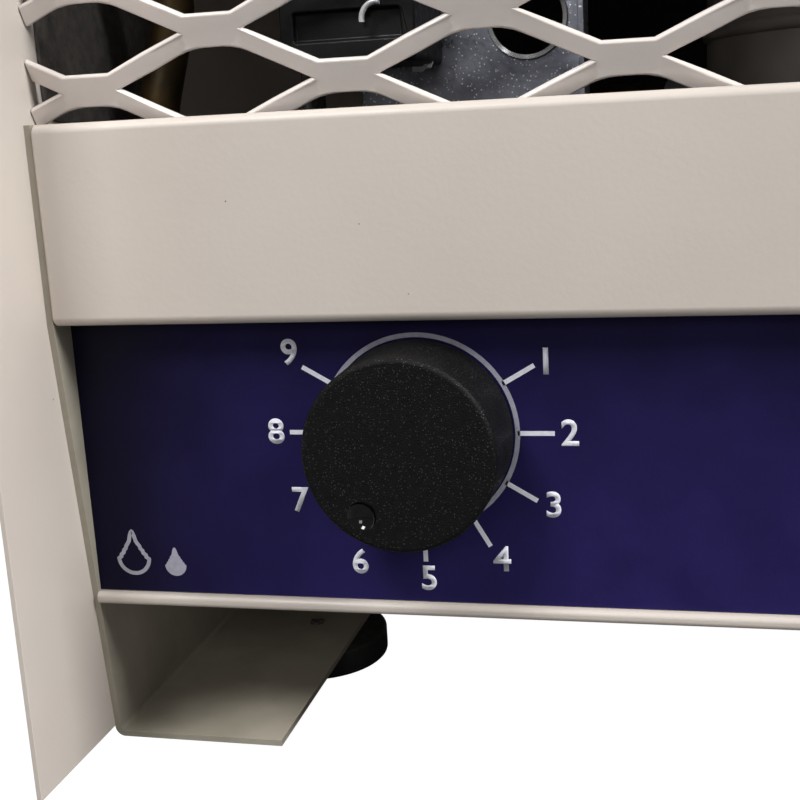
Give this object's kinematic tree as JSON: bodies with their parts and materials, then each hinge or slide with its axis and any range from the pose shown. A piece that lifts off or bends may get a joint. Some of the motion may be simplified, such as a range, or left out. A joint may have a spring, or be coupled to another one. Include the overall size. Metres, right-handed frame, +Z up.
{
  "type": "compact dehumidifier",
  "caption": "Free-standing steel-cased air dryer with an expanded-mesh front, a round humidity dial under a flat rail, a rear fan outlet and a top handle.",
  "frame": {"origin": "on the floor under the middle of the casing, at the bottom of the rubber feet", "axes": "+Z up, front with the dial facing -Y, +X to the right of someone facing the front"},
  "size_m": [0.3544, 0.34, 0.545],
  "materials": {
    "cream_paint": "satin powder coat, warm off-white",
    "label_blue": "dark blue printed polycarbonate film",
    "knob_black": "fine-grained black moulding",
    "black_plastic": "moulded black",
    "zinc_plate": "bright zinc plated",
    "galvanised": "galvanised sheet",
    "steel": "turned steel",
    "copper": "drawn copper tube, slightly dulled",
    "fin_aluminium": "mill finish fins",
    "compressor_black": "satin black enamel",
    "motor_grey": "grey enamel",
    "fan_plastic": "glass-filled black moulding",
    "tray_grey": "moulded light grey",
    "rubber": "black rubber",
    "hose_clear": "milky flexible hose",
    "capacitor_can": "moulded white can",
    "wire_insulation": "coloured insulation",
    "lamp_amber": "tinted lens",
    "rocker_black": "polished black moulding",
    "chrome_trim": "plated ring"
  },
  "bodies": {
    "casing": {"back_panel": "cream_paint", "base_tray": "galvanised", "bulkhead": "galvanised", "cable_gland": "black_plastic", "capacitor_clip": "zinc_plate", "capillary_tube": "copper", "coil_end_plates": "galvanised", "compressor": "compressor_black", "compressor_bolts": "zinc_plate", "compressor_cap": "black_plastic", "compressor_grommets": "rubber", "condenser_fins": "fin_aluminium", "condenser_tube": "copper", "control_label": "label_blue", "control_panel": "cream_paint", "control_wires": "wire_insulation", "cover_screws": "zinc_plate", "defrost_timer": "black_plastic", "discharge_pipe": "copper", "drain_hose": "hose_clear", "drain_spout": "black_plastic", "drip_tray": "tray_grey", "electrics_plate": "zinc_plate", "evaporator_fins": "fin_aluminium", "evaporator_tube": "copper", "fan_motor": "motor_grey", "fan_shroud": "galvanised", "filter_drier": "copper", "foot_rail_left": "cream_paint", "foot_rail_right": "cream_paint", "foot_screws": "zinc_plate", "front_mesh": "cream_paint", "front_rail": "cream_paint", "guard_screws": "zinc_plate", "handle_grip": "knob_black", "handle_screws": "zinc_plate", "handle_strap": "cream_paint", "humidistat_body": "black_plastic", "humidistat_nut": "zinc_plate", "inner_screws": "zinc_plate", "lamp_bezel": "chrome_trim", "lamp_lens": "lamp_amber", "liquid_pipe": "copper", "motor_bracket": "galvanised", "rear_guard": "steel", "relay": "black_plastic", "rubber_feet": "rubber", "run_capacitor": "capacitor_can", "suction_pipe": "copper", "switch_bezel": "black_plastic", "switch_pin": "steel", "terminal_block": "black_plastic", "top_rail": "cream_paint", "wrap_cover": "cream_paint"},
    "knob": {"control_knob": "knob_black", "humidistat_shaft": "steel"},
    "fan": {"fan_blades": "fan_plastic", "motor_shaft": "steel", "fan_nut": "zinc_plate"},
    "rocker": {"switch_rocker": "rocker_black"}
  },
  "joints": [
    {"name": "knob_turn", "type": "hinge", "parent": "casing", "child": "knob", "pos_m": [-0.094, -0.15, 0.084], "axis": [0, -1, 0], "range_deg": [-105, 165]},
    {"name": "fan_spin", "type": "hinge", "parent": "casing", "child": "fan", "pos_m": [0, -0.03, 0.372], "axis": [0, 1, 0], "continuous": true},
    {"name": "switch_tilt", "type": "hinge", "parent": "casing", "child": "rocker", "pos_m": [0.13, -0.136, 0.084], "axis": [1, 0, 0], "range_deg": [-22, 0]}
  ]
}
